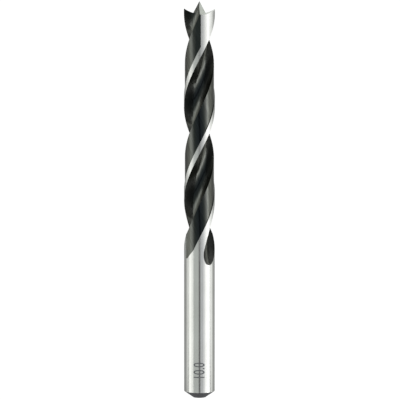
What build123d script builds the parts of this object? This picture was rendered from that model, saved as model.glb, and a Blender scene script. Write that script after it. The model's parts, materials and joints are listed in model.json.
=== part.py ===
from build123d import *
from math import acos, asin, atan2, ceil, cos, degrees, hypot, radians, sin, sqrt, tan
import os

# Brad-point twist drill for wood, in millimetres. It is drawn upright, with the
# shank end at the origin and the centre point at the top, and is then laid down.
# The two halves of the cutting end repeat every half turn.

# Blank
cut_diameter = 10.0             # at the spurs
shank_diameter = 9.9            # the fluted length tapers back to it
overall_length = 128.0
shank_chamfer_height = 2.05
shank_chamfer_angle = 55.0      # from the axis

# Flutes: a round bowl with a straight wall up to the cutting edge
flute_turn_length = 60.3        # advance in one full turn, right-handed
web_thickness = 2.5             # solid core between the two flutes
flute_radius = 3.26             # round bottom of the flute
flute_bearing = 55.7            # from the cutting edge to the deepest line

# Run-out, where the grinding wheel leaves the steel
full_flute_length = 66.7        # from the tip of the point
wheel_radius = 26.7
lift_bearing = -36.2            # way the wheel leaves, from the cutting edge
turn_easing = 0.229             # degrees per square millimetre past the full flute
taper_start = 1.0               # from the run-out's end to the back taper

# Lands: a ground margin at full diameter, the rest cut back
margin_width = 1.65
clearance_depth = 0.3
clearance_overrun = 8.7         # along the heel, past the full flute
clearance_length = 82.7         # from the tip of the point
clearance_end_bearing = -31.0   # lowest corner of its slanted end, from the cutting edge
clearance_end_slant = 42.0      # from the axis

# Tip: a four-sided centre point, two hollow lips and two spurs
point_height = 3.9              # above the lowest part of the lips
point_half_angle = 27.7         # at its edges
spur_height = 1.35              # above the lowest part of the lips
spur_slope = 30.0               # of the lip where it meets the spur
relief_angle = 10.0

# The cutting shapes: how far they reach past what they cut, and how they are built
spare = 1.5
heel_overlap = 6.0              # degrees past the heel
rim_angle = 65.0                # end of the round bottom, past the rim
slice_depth = 0.75              # inside of a land's slice, of the cut-back radius
tip_contact = 0.3               # last contact lines of the clearance wheel, in
shank_contact = 0.15            # turns of the flute from the lips and from its stop
turn_per_section = 12.0

cut_radius = cut_diameter / 2
shank_radius = shank_diameter / 2
lip_level = overall_length - point_height
full_flute_end = overall_length - full_flute_length
clearance_radius = cut_radius - clearance_depth
bowl_distance = web_thickness / 2 + flute_radius


def polar(radius, angle):
    return Vector(radius * cos(radians(angle)), radius * sin(radians(angle)), 0)


def edge_angle(height):
    """Bearing of the first cutting edge's helix at a height."""
    return 360 * (height - lip_level) / flute_turn_length


def opening_angle():
    """From the cutting edge to the far rim of the same flute."""
    near = cut_radius**2 + bowl_distance**2 - flute_radius**2
    return flute_bearing + degrees(acos(near / (2 * cut_radius * bowl_distance)))


heel_angle = opening_angle() - 180


def wheel_lift(height):
    """How far the wheel has left its full depth at a height."""
    past = full_flute_end - height
    if past <= 0:
        return 0.0
    return wheel_radius - sqrt(wheel_radius**2 - past**2)


def eased_turn(height):
    """How far the turn lags behind the helix at a height, as the wheel leaves."""
    past = max(full_flute_end - height, 0)
    return turn_easing * past**2


def runout_length():
    """Down to where the round bottom clears the blank."""
    bowl = polar(bowl_distance, flute_bearing)
    along = bowl.dot(polar(1, lift_bearing))
    gap = (flute_radius + cut_radius) ** 2 - bowl_distance**2
    lift = sqrt(along**2 + gap) - along + spare / 4
    return sqrt(2 * wheel_radius * lift - lift**2)


def shank_end():
    """Where the plain shank ends and the back taper starts."""
    return full_flute_end - runout_length() - taper_start


def shank_blank():
    flat = shank_radius - shank_chamfer_height * tan(radians(shank_chamfer_angle))
    outline = Polyline(
        (0, 0),
        (flat, 0),
        (shank_radius, shank_chamfer_height),
        (shank_radius, shank_end()),
        (cut_radius, lip_level + spur_height),
        (cut_radius, overall_length),
        (0, overall_length),
        close=True,
    )
    return revolve(Plane.XZ * make_face(outline), Axis.Z)


def flute_section(height):
    """The wheel's outline across the axis at a height."""
    corner = polar(cut_radius, 0)
    bowl = polar(bowl_distance, flute_bearing)
    reach = hypot(bowl.X - corner.X, bowl.Y)
    wall_angle = atan2(bowl.Y, bowl.X - corner.X) + asin(flute_radius / reach)
    wall = Vector(cos(wall_angle), sin(wall_angle), 0)
    foot = corner + wall * sqrt(reach**2 - flute_radius**2)
    outside = corner - wall * spare
    rim = bowl + polar(flute_radius, flute_bearing + rim_angle)
    bottom = bowl - polar(flute_radius, flute_bearing)
    beyond = polar(cut_radius + 2 * spare, flute_bearing / 2)
    outline = [
        Line(outside, foot),
        ThreePointArc(foot, bottom, rim),
        Line(rim, beyond),
        Line(beyond, outside),
    ]
    lifted = Pos(polar(wheel_lift(height), lift_bearing)) * make_face(outline)
    return Pos(0, 0, height) * Rot(0, 0, edge_angle(height) + eased_turn(height)) * lifted


def band_section(height):
    """A slice of the land from its margin's back edge to past its heel."""
    front = -degrees(margin_width / cut_radius)
    back = heel_angle - heel_overlap
    inner = clearance_radius * slice_depth
    outer = (cut_radius + spare / 3) / cos(radians((front - back) / 2))
    corners = [polar(inner, front), polar(outer, front), polar(outer, back), polar(inner, back)]
    slice_face = make_face(Polyline(*corners, close=True))
    return Pos(0, 0, height) * Rot(0, 0, edge_angle(height)) * slice_face


def twisted(section, low, high):
    """A solid through sections that turn with the flutes."""
    turn = edge_angle(high) - edge_angle(low)
    count = ceil(turn / turn_per_section)
    step = (high - low) / count
    return loft([section(low + step * i) for i in range(count + 1)])


def kept_core(bearing, side, low, high):
    """What the clearance wheel leaves where it stops: the cut-back core, and
    beyond one side of its last contact line the steel under its flat."""
    r = clearance_radius
    far = cut_diameter
    outline = [
        ThreePointArc((-r, 0), (0, -side * r), (r, 0)),
        Polyline((r, 0), (r, side * far), (-far, side * far), (-far, 0), (-r, 0)),
    ]
    core = extrude(make_face(outline), high - low, dir=(0, 0, 1))
    return Pos(0, 0, low) * Rot(0, 0, bearing) * core


def shank_side(low):
    """Steel beyond the slanted line where the clearance wheel leaves the land."""
    size = 2 * cut_diameter
    block = Box(size, size, size, align=(Align.CENTER, Align.MIN, Align.CENTER))
    bearing = edge_angle(low) + clearance_end_bearing
    return Pos(0, 0, low) * Rot(0, 0, bearing) * Rot(X=-clearance_end_slant) * block


def clearance_cut():
    low = overall_length - clearance_length
    high = overall_length + spare
    stop = full_flute_end - clearance_overrun
    flat = degrees(acos(clearance_radius / cut_radius))
    tip_bearing = edge_angle(lip_level) + heel_angle - flat
    shank_bearing = edge_angle(stop) + heel_angle + flat
    below_tip = lip_level - flute_turn_length * tip_contact
    above_shank = stop + flute_turn_length * shank_contact
    cut = twisted(band_section, low, high)
    cut -= kept_core(tip_bearing, 1, below_tip, high + spare)
    cut -= kept_core(shank_bearing, -1, low - spare, above_shank)
    cut -= shank_side(low)
    middle = Cylinder(clearance_radius, below_tip - above_shank + spare)
    return cut - Pos(0, 0, (below_tip + above_shank) / 2) * middle


def point_pyramid():
    """The four-sided centre point, its edges over the lips and flutes."""
    height = overall_length - lip_level + 2 * spare
    reach = height * tan(radians(point_half_angle))
    square = make_face(Polyline((reach, 0), (0, reach), (-reach, 0), (0, -reach), close=True))
    base = Pos(0, 0, overall_length - height) * square
    tip = Pos(0, 0, overall_length) * Vertex(0, 0, 0)
    return loft([base, tip])


def lip_cut():
    """Steel taken off above the first lip, its relief falling to the heel."""
    inner = (overall_length - lip_level) * tan(radians(point_half_angle))
    valley = (inner, lip_level)
    spur = (cut_radius, lip_level + spur_height)
    slope = (-cos(radians(spur_slope)), -sin(radians(spur_slope)))
    hollow = TangentArc(spur, valley, tangent=slope)
    top = overall_length + spare
    outside = cut_radius + spare
    rise = spare * tan(radians(spur_slope))
    overlap = web_thickness / 4     # past the axis, inside the centre point
    outline = [
        hollow,
        Polyline(valley, (-overlap, lip_level), (-overlap, top), (outside, top)),
        Polyline((outside, top), (outside, spur[1] + rise), spur),
    ]
    face = Plane.XZ * make_face(outline)
    fall = (0, -cos(radians(relief_angle)), -sin(radians(relief_angle)))
    return extrude(face, cut_diameter, dir=fall, both=True)


def drill_bit():
    bit = shank_blank()
    low = full_flute_end - runout_length()
    flute = twisted(flute_section, low, overall_length + spare)
    clearance = clearance_cut()
    tip = lip_cut() - point_pyramid()
    for half_turn in (0, 180):
        bit -= Rot(0, 0, half_turn) * flute
        bit -= Rot(0, 0, half_turn) * clearance
        bit -= Rot(0, 0, half_turn) * tip
    return bit


lying = Pos(0, -overall_length / 2, cut_radius) * Rot(X=-90)
os.makedirs("parts", exist_ok=True)
export_step(lying * drill_bit(), "parts/drill_bit.step")
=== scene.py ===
import bmesh
import bpy
import json
import math
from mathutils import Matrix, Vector

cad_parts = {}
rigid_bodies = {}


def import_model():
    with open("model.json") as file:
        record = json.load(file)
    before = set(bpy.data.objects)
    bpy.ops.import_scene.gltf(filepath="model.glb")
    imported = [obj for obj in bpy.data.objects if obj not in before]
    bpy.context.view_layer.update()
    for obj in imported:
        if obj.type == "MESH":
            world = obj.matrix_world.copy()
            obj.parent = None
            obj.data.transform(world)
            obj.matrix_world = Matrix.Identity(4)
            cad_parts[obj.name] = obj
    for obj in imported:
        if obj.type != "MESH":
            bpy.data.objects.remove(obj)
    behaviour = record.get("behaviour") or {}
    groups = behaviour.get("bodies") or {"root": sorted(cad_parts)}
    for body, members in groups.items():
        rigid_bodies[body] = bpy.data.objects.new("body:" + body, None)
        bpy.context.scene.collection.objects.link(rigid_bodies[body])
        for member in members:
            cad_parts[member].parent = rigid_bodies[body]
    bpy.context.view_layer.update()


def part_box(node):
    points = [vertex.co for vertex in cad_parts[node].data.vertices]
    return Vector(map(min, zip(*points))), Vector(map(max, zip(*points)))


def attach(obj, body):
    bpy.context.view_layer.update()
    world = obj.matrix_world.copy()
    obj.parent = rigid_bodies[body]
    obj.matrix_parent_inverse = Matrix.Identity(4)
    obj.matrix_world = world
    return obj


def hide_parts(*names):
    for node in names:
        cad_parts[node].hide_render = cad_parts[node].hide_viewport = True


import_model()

MM = 0.001

# The drill lies on the ground along +Y, its axis one cut radius above it.
cut_radius = 5.0 * MM
shank_radius = 4.95 * MM
bit_low, bit_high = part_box("drill_bit")
shank_end_y = bit_low[1]
tip_y = bit_high[1]
bevel_length = 2.05 * MM
flute_lead = 60.3 * MM

# Where each finish lies, as distances from the axis and cosines of a face's slant
ground_radius = 4.94 * MM       # the margins and the shank lie outside it
step_foot = 4.65 * MM           # the step behind a margin rises from here
step_head = 4.9 * MM
point_radius = 2.2 * MM         # reach of the centre point
tip_length = 5.2 * MM           # from the centre point to below the lips
faces_out = 0.95
faces_back = 0.7
faces_tip = 0.2
lip_slant = 0.7                 # the lips face the tip more squarely than the point does
rake_slant = 0.6
dull_from = -22 * MM            # along Y, where the shank's finish turns to the margins'
dull_to = -10 * MM

# Patterns of the finishes
grinding_line = 0.17 * MM       # drawn about five times as coarse as the real lines, to show
shank_cloud = 6.7 * MM
oxide_streak = 0.38 * MM        # coarser than the real ones too
tip_cloud = 1.1 * MM

# The size mark
mark_start_y = -57.05 * MM
mark_length = 4.9 * MM
mark_height = 3.7 * MM
mark_bearing = math.radians(-1.5)
mark_thickness = 0.03 * MM
mark_proud = 0.01 * MM          # the rest of its thickness lies in the steel
mark_strips = 16                # across the digits, to follow the round shank
smallest_edge = 0.001 * MM

# Painted shade on the floor, seen only in the steel's reflections: the floor glows dimmer beside the
# bit and towards the shank's end, brighter past the tip, and dimmer on the left than on the right
shade_near = 4 * MM             # beside the axis
shade_far = 40 * MM
shade_depth = 0.30
past_tip_start = 60 * MM        # along Y, from which the shade ends quickly
past_tip_rate = 10.0            # times as fast as it does beside the bit
shank_shade_end = -60 * MM      # along Y, towards the shank's end
shank_shade_full = -90 * MM
side_reach = 20 * MM
# painted light and shade: the floor mirrored in the steel is dimmer left of the bit and brighter
# right of it
left_painted_shade, right_painted_light = 0.88, 1.15
floor_white = 1.16              # seen by the camera, mixed with the floor's own paint
floor_white_share = 0.8

# The studio
panel_distance = 0.95
room_light = 0.6                # on matt surfaces
room_mirrored = 0.14            # in the steel, where no panel shows
ends_mirrored = 0.60            # in the steel, beyond the ends of the panels

# The camera, above the bit and a little towards its tip, turned to its middle
photo_pixels = 400
pixel_size = 0.3228 * MM        # on the bit
camera_distance = 0.510
camera_x = 0.19 * MM
camera_y = 21.6 * MM
sensor_width = 36

# The finishes, in the order of the steel's material slots
BRIGHT, OXIDE, TIP, LIP, BEVEL = range(5)


def linear(hex_colour):
    """An sRGB hex colour as the linear colour that Blender's sockets take."""
    parts = [int(hex_colour[i:i + 2], 16) / 255 for i in (1, 3, 5)]
    return [p / 12.92 if p <= 0.04045 else ((p + 0.055) / 1.055) ** 2.4 for p in parts] + [1.0]


def add(tree, kind, settings=None, values=None, links=None):
    """A node with its settings, its socket values and the sockets that feed it."""
    node = tree.nodes.new(kind)
    for name, value in (settings or {}).items():
        setattr(node, name, value)
    for name, value in (values or {}).items():
        node.inputs[name].default_value = value
    for name, source in (links or {}).items():
        tree.links.new(source, node.inputs[name])
    return node


def new_material(name):
    material = bpy.data.materials.new(name)
    material.use_nodes = True
    material.node_tree.nodes.clear()
    return material, material.node_tree


def finish_surface(tree, shader):
    add(tree, "ShaderNodeOutputMaterial", links={"Surface": shader.outputs[0]})


def mapped(tree, source, from_low, from_high, to_low, to_high, curve="LINEAR"):
    """A value carried from one range to another."""
    node = add(tree, "ShaderNodeMapRange", {"interpolation_type": curve}, {
        "From Min": from_low, "From Max": from_high, "To Min": to_low, "To Max": to_high},
        links={"Value": source})
    return node.outputs[0]


def tint_of(tree, amount, dark, light):
    """A colour between two others."""
    node = add(tree, "ShaderNodeMix", {"data_type": "RGBA"}, {"A": linear(dark), "B": linear(light)},
               {"Factor": amount})
    return node.outputs["Result"]


def noise(tree, vector, size, detail=2.0):
    """An uneven pattern whose patches are about one size across."""
    return add(tree, "ShaderNodeTexNoise", values={"Scale": 1 / size, "Detail": detail},
               links={"Vector": vector}).outputs["Fac"]


def stretched(tree, vector, factors):
    """A position with each axis scaled, so that a pattern is drawn out along one."""
    return add(tree, "ShaderNodeVectorMath", {"operation": "MULTIPLY"}, {1: factors},
               {0: vector}).outputs[0]


def untwisted(tree):
    """The place on the bit with the turn of the flutes taken out, so that a
    pattern drawn out along Y follows the flutes."""
    place = add(tree, "ShaderNodeTexCoord").outputs["Object"]
    along = add(tree, "ShaderNodeSeparateXYZ", links={0: place}).outputs["Y"]
    turn = add(tree, "ShaderNodeMath", {"operation": "MULTIPLY"}, {1: 2 * math.pi / flute_lead},
               {0: along}).outputs[0]
    straight = add(tree, "ShaderNodeVectorRotate", {"rotation_type": "AXIS_ANGLE"}, {
        "Center": (0, 0, cut_radius), "Axis": (0, 1, 0)}, {"Vector": place, "Angle": turn})
    return straight.outputs[0]


def bright_ground_steel():
    """Tool steel, cylindrically ground: bright, with fine lines round the axis and
    a softer shine on the narrow lands than on the shank."""
    material, tree = new_material("cylindrically_ground_tool_steel")
    place = add(tree, "ShaderNodeTexCoord").outputs["Object"]
    lines = noise(tree, stretched(tree, place, (0.02, 1, 0.02)), grinding_line)
    clouds = noise(tree, place, shank_cloud)
    along = add(tree, "ShaderNodeSeparateXYZ", links={0: place}).outputs["Y"]
    dull = mapped(tree, along, dull_from, dull_to, 0.15, 0.30)
    streak = mapped(tree, lines, 0.3, 0.7, -0.03, 0.03)
    rough = add(tree, "ShaderNodeMath", {"operation": "ADD"}, links={0: dull, 1: streak})
    shader = add(tree, "ShaderNodeBsdfPrincipled", values={"Metallic": 1.0}, links={
        "Base Color": tint_of(tree, clouds, "#d3d3cf", "#e2e2e0"), "Roughness": rough.outputs[0]})
    finish_surface(tree, shader)
    return material


def black_oxide_steel():
    """Ground steel blackened in hot salts: near black face on, lighter and warmer
    at a slant, with faint grinding streaks along the flutes."""
    material, tree = new_material("black_oxide_tool_steel")
    facing = add(tree, "ShaderNodeLayerWeight", values={"Blend": 0.5})
    film = add(tree, "ShaderNodeValToRGB", links={"Fac": facing.outputs["Facing"]})
    stops = ((0.0, "#282d30"), (0.05, "#343836"), (0.09, "#464845"), (0.14, "#626461"),
             (0.2, "#646661"), (0.3, "#595a55"))
    for place, colour in stops[1:-1]:
        film.color_ramp.elements.new(place)
    for stop, (place, colour) in zip(film.color_ramp.elements, stops):
        stop.position, stop.color = place, linear(colour)
    straight = untwisted(tree)
    streaks = noise(tree, stretched(tree, straight, (1, 0.03, 1)), oxide_streak, 3.0)
    uneven = mapped(tree, streaks, 0.3, 0.7, 0.75, 1.25)
    colour = add(tree, "ShaderNodeVectorMath", {"operation": "SCALE"},
                 links={0: film.outputs["Color"], "Scale": uneven})
    rough = mapped(tree, streaks, 0.3, 0.7, 0.16, 0.21)
    shader = add(tree, "ShaderNodeBsdfPrincipled", values={"Metallic": 1.0}, links={
        "Base Color": colour.outputs[0], "Roughness": rough})
    finish_surface(tree, shader)
    return material


def tip_ground_steel(name, dark, light):
    """Tool steel, ground on the wheel at the tip after the blackening."""
    material, tree = new_material(name)
    place = add(tree, "ShaderNodeTexCoord").outputs["Object"]
    clouds = noise(tree, place, tip_cloud)
    shader = add(tree, "ShaderNodeBsdfPrincipled", values={"Metallic": 1.0, "Roughness": 0.3}, links={
        "Base Color": tint_of(tree, clouds, dark, light)})
    finish_surface(tree, shader)
    return material


def bevel_steel():
    """Turned bevel of the shank end, left dark by the heat treatment."""
    material, tree = new_material("turned_dark_bevel_steel")
    shader = add(tree, "ShaderNodeBsdfPrincipled", values={
        "Base Color": linear("#9a9a9f"), "Metallic": 1.0, "Roughness": 0.4})
    finish_surface(tree, shader)
    return material


def etched_mark():
    """Size mark, darkened by a laser: grey and without shine."""
    material, tree = new_material("laser_darkened_mark")
    shader = add(tree, "ShaderNodeBsdfPrincipled", values={
        "Base Color": linear("#727477"), "Metallic": 0.6, "Roughness": 0.5})
    finish_surface(tree, shader)
    return material


def finish_of(corners, normal):
    """Which of the five finishes a face of the steel has, from where it lies."""
    centre = sum(corners, Vector()) / len(corners)
    if centre.y < shank_end_y + bevel_length:
        return BEVEL
    out = Vector((centre.x, 0, centre.z - cut_radius))
    radii = [math.hypot(c.x, c.z - cut_radius) for c in corners]
    if min(radii) > ground_radius and normal.dot(out.normalized()) > faces_out:
        return BRIGHT
    backwards = normal.dot(out.normalized().cross(Vector((0, 1, 0))))
    if min(radii) > step_foot and max(radii) > step_head and backwards > faces_back:
        return TIP
    if normal.y > faces_tip and centre.y > tip_y - tip_length:
        on_point = out.length < point_radius
        if normal.x * normal.z < 0 and on_point and normal.y < rake_slant:
            return OXIDE
        # the paler copy on faces that face the tip squarely is a painted highlight, the darker one
        # painted shade
        return TIP if normal.y <= lip_slant and out.length <= point_radius else LIP
    return OXIDE


def finished_steel():
    """The CAD solid with its own faces, each given a finish from where it lies; on the tip, a paler
    and a darker copy of one ground steel stand for painted light and shade.
    """
    node = next(o for o in bpy.data.objects if o.type == "MESH" and o.name.startswith("drill_bit"))
    steel = node.copy()
    steel.data = node.data.copy()
    steel.name = "drill_steel"
    bpy.context.scene.collection.objects.link(steel)
    mesh = steel.data
    mesh.materials.clear()
    mesh.materials.append(bright_ground_steel())
    mesh.materials.append(black_oxide_steel())
    # Two copies of one ground steel for the tip: faces that face the tip squarely get the paler one,
    # a painted highlight; the point's facets and the steps behind the margins get the darker one,
    # painted shade
    mesh.materials.append(tip_ground_steel("point_steel_painted_darker", "#b0b3ad", "#c8cbc5"))
    mesh.materials.append(tip_ground_steel("lip_steel_painted_paler", "#d8dad6", "#e6e7e4"))
    mesh.materials.append(bevel_steel())
    normals = [corner.vector.copy() for corner in mesh.corner_normals]
    for face in mesh.polygons:
        corners = [mesh.vertices[i].co for i in face.vertices]
        face.material_index = finish_of(corners, face.normal)
        if face.material_index == BRIGHT:
            for i, corner in zip(face.loop_indices, corners):
                normals[i] = Vector((corner.x, 0, corner.z - cut_radius)).normalized()
    mesh.normals_split_custom_set(normals)
    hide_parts("drill_bit")
    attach(steel, "root")
    return steel


def size_mark():
    """The size, 10.0, as a thin closed skin let into the shank, read towards the tip."""
    curve = bpy.data.curves.new("size_mark", "FONT")
    curve.body = "10.0"
    curve.extrude = 0.05
    text = bpy.data.objects.new("size_mark_text", curve)
    bpy.context.scene.collection.objects.link(text)
    bpy.context.view_layer.update()
    mesh = bpy.data.meshes.new_from_object(text)
    bpy.data.objects.remove(text)
    shape = bmesh.new()
    shape.from_mesh(mesh)
    bmesh.ops.remove_doubles(shape, verts=shape.verts[:], dist=0.0001)
    low = Vector([min(v.co[i] for v in shape.verts) for i in range(3)])
    high = Vector([max(v.co[i] for v in shape.verts) for i in range(3)])
    for v in shape.verts:
        along, across, depth = ((v.co[i] - low[i]) / (high[i] - low[i]) for i in range(3))
        v.co = ((across - 0.5) * mark_height, mark_start_y + along * mark_length,
                depth * mark_thickness)
    for step in range(1, mark_strips):
        bmesh.ops.bisect_plane(shape, geom=shape.verts[:] + shape.edges[:] + shape.faces[:],
                               plane_co=((step / mark_strips - 0.5) * mark_height, 0, 0),
                               plane_no=(1, 0, 0))
    bmesh.ops.remove_doubles(shape, verts=shape.verts[:], dist=smallest_edge)
    bmesh.ops.dissolve_degenerate(shape, edges=shape.edges[:], dist=smallest_edge)
    bmesh.ops.triangulate(shape, faces=shape.faces[:])
    inside = shank_radius + mark_proud - mark_thickness
    for v in shape.verts:
        angle = mark_bearing - v.co.x / shank_radius
        radius = inside + v.co.z
        v.co = (radius * math.sin(angle), v.co.y, cut_radius + radius * math.cos(angle))
    bmesh.ops.recalc_face_normals(shape, faces=shape.faces[:])
    shape.to_mesh(mesh)
    shape.free()
    mark = bpy.data.objects.new("size_mark", mesh)
    bpy.context.scene.collection.objects.link(mark)
    mesh.materials.append(etched_mark())
    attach(mark, "root")
    return mark


def ground():
    """A plain white floor. The camera sees it white but for a soft shadow. The steel mirrors a
    glowing floor instead,
    with painted shade: dimmer beside the bit and towards the shank's end, brighter past the tip,
    dimmer left and brighter right."""
    bpy.ops.mesh.primitive_plane_add(size=4.0, location=(0, 0, -0.00001))
    floor = bpy.context.object
    floor.name = "floor"
    material, tree = new_material("white_floor_with_painted_shade")
    place = add(tree, "ShaderNodeTexCoord")
    axes = add(tree, "ShaderNodeSeparateXYZ", links={0: place.outputs["Object"]})
    beside = add(tree, "ShaderNodeMath", {"operation": "ABSOLUTE"}, links={0: axes.outputs["X"]})
    # painted light: the mirrored floor brightens quickly past the tip
    past_tip = add(tree, "ShaderNodeMath", {"operation": "MULTIPLY_ADD"}, {
        1: past_tip_rate, 2: -past_tip_rate * past_tip_start},
                   {0: axes.outputs["Y"]})
    away = add(tree, "ShaderNodeMath", {"operation": "MAXIMUM"}, links={
        0: beside.outputs[0], 1: past_tip.outputs[0]})
    beside_bit = mapped(tree, away.outputs[0], shade_near, shade_far, shade_depth, 1.0, "SMOOTHSTEP")
    # painted shade: the mirrored floor dims towards the shank's end
    lit = mapped(tree, axes.outputs["Y"], shank_shade_full, shank_shade_end, shade_depth, 1.0)
    painted_side_light = mapped(tree, axes.outputs["X"], -side_reach, side_reach, left_painted_shade, right_painted_light)
    near = add(tree, "ShaderNodeMath", {"operation": "MULTIPLY"}, links={0: beside_bit, 1: lit})
    shade = add(tree, "ShaderNodeMath", {"operation": "MULTIPLY"}, links={
        0: near.outputs[0], 1: painted_side_light})
    paint = add(tree, "ShaderNodeBsdfDiffuse", values={"Color": linear("#ececec")})
    white = add(tree, "ShaderNodeEmission", values={"Color": (1, 1, 1, 1), "Strength": floor_white})
    # painted reflection: the steel mirrors this glow, with the painted shade above and a faint green
    # tint
    mirrored = add(tree, "ShaderNodeEmission", values={"Color": (0.98, 1.0, 0.98, 1)},
                   links={"Strength": shade.outputs[0]})
    path = add(tree, "ShaderNodeLightPath")
    seen = add(tree, "ShaderNodeMath", {"operation": "MULTIPLY"}, {1: floor_white_share},
               {0: path.outputs["Is Camera Ray"]})
    to_camera = add(tree, "ShaderNodeMixShader", links={
        0: seen.outputs[0], 1: paint.outputs[0], 2: white.outputs[0]})
    reflected = add(tree, "ShaderNodeMath", {"operation": "MAXIMUM"}, links={
        0: path.outputs["Is Glossy Ray"], 1: path.outputs["Is Transmission Ray"]})
    surface = add(tree, "ShaderNodeMixShader", links={
        0: reflected.outputs[0], 1: to_camera.outputs[0], 2: mirrored.outputs[0]})
    finish_surface(tree, surface)
    floor.data.materials.append(material)


def light_panel(name, low, high, radiance, ends, tint):
    """A panel along the bit, from one bearing to another, measured from straight
    up towards +X. A radiance of 1 shows as white in a mirror, and panels one
    behind the other add up."""
    length = ends[1] - ends[0]
    width = 2 * panel_distance * math.tan(math.radians(high - low) / 2)
    light = bpy.data.lights.new(name, "AREA")
    light.shape = "RECTANGLE"
    light.size, light.size_y = width, length
    light.color = tint
    light.energy = radiance * math.pi * width * length
    panel = bpy.data.objects.new(name, light)
    bpy.context.scene.collection.objects.link(panel)
    angle = math.radians(low + high) / 2
    middle = (ends[0] + ends[1]) / 2
    panel.location = (math.sin(angle) * panel_distance, middle,
                      cut_radius + math.cos(angle) * panel_distance)
    panel.rotation_euler = (0, angle, 0)
    panel.visible_camera = False


def studio():
    """A softbox on each side, brighter towards its middle, duller panels overhead
    with a slot between them, and a dim room."""
    greenish, warm = (0.98, 1.0, 0.97), (1.0, 0.99, 0.97)
    light_panel("left_overhead", -50, -5, 0.44, (-0.4, 0.4), (0.93, 1.0, 0.96))
    light_panel("left_softbox", -90, -47, 0.83, (-0.35, 0.22), greenish)
    light_panel("left_inner", -86, -56, 0.26, (-0.35, 0.22), greenish)
    light_panel("left_core", -80, -68, 0.20, (-0.35, 0.22), greenish)
    light_panel("right_overhead", 7, 92, 0.48, (-0.4, 0.4), (0.93, 0.97, 1.0))
    light_panel("right_softbox", 29, 90, 0.28, (-0.35, 0.33), warm)
    light_panel("right_inner", 42, 87, 0.46, (-0.35, 0.33), warm)
    light_panel("right_core", 61, 75, 0.80, (-0.35, 0.33), warm)
    world = bpy.data.worlds.new("studio")
    bpy.context.scene.world = world
    world.use_nodes = True
    world.node_tree.nodes.clear()
    tree = world.node_tree
    path = add(tree, "ShaderNodeLightPath")
    way = add(tree, "ShaderNodeSeparateXYZ", links={
        0: add(tree, "ShaderNodeTexCoord").outputs["Generated"]})
    ahead = add(tree, "ShaderNodeMath", {"operation": "MULTIPLY"}, links={
        0: mapped(tree, way.outputs["Y"], 0.64, 0.86, 0.0, 0.45, "SMOOTHSTEP"),
        1: mapped(tree, way.outputs["X"], -0.2, 0.2, 0.0, 1.0, "SMOOTHSTEP")})
    behind = mapped(tree, way.outputs["Y"], -0.75, -0.90, 0.0, 1.0, "SMOOTHSTEP")
    ends = add(tree, "ShaderNodeMath", {"operation": "ADD"}, links={0: ahead.outputs[0], 1: behind})
    mirrored = mapped(tree, ends.outputs[0], 0.0, 1.0, room_mirrored, ends_mirrored)
    room = add(tree, "ShaderNodeMix", {"data_type": "RGBA"}, {
        "A": (room_light, room_light, room_light, 1)}, {
        "Factor": path.outputs["Is Glossy Ray"], "B": mirrored})
    sky = add(tree, "ShaderNodeMix", {"data_type": "RGBA"}, {"B": (1, 1, 1, 1)}, {
        "Factor": path.outputs["Is Camera Ray"], "A": room.outputs["Result"]})
    air = add(tree, "ShaderNodeBackground", links={"Color": sky.outputs["Result"]})
    add(tree, "ShaderNodeOutputWorld", links={"Surface": air.outputs[0]})


def camera():
    data = bpy.data.cameras.new("camera")
    cam = bpy.data.objects.new("camera", data)
    bpy.context.scene.collection.objects.link(cam)
    data.sensor_width = sensor_width
    data.lens = sensor_width * camera_distance / (photo_pixels * pixel_size)
    cam.location = (camera_x, camera_y, cut_radius + camera_distance)
    cam.rotation_euler = (-math.atan2(camera_y, camera_distance), 0, 0)
    data.clip_start, data.clip_end = 0.05, 10
    bpy.context.scene.camera = cam


finished_steel()
size_mark()
ground()
studio()
camera()
bpy.context.scene.view_settings.view_transform = "Standard"
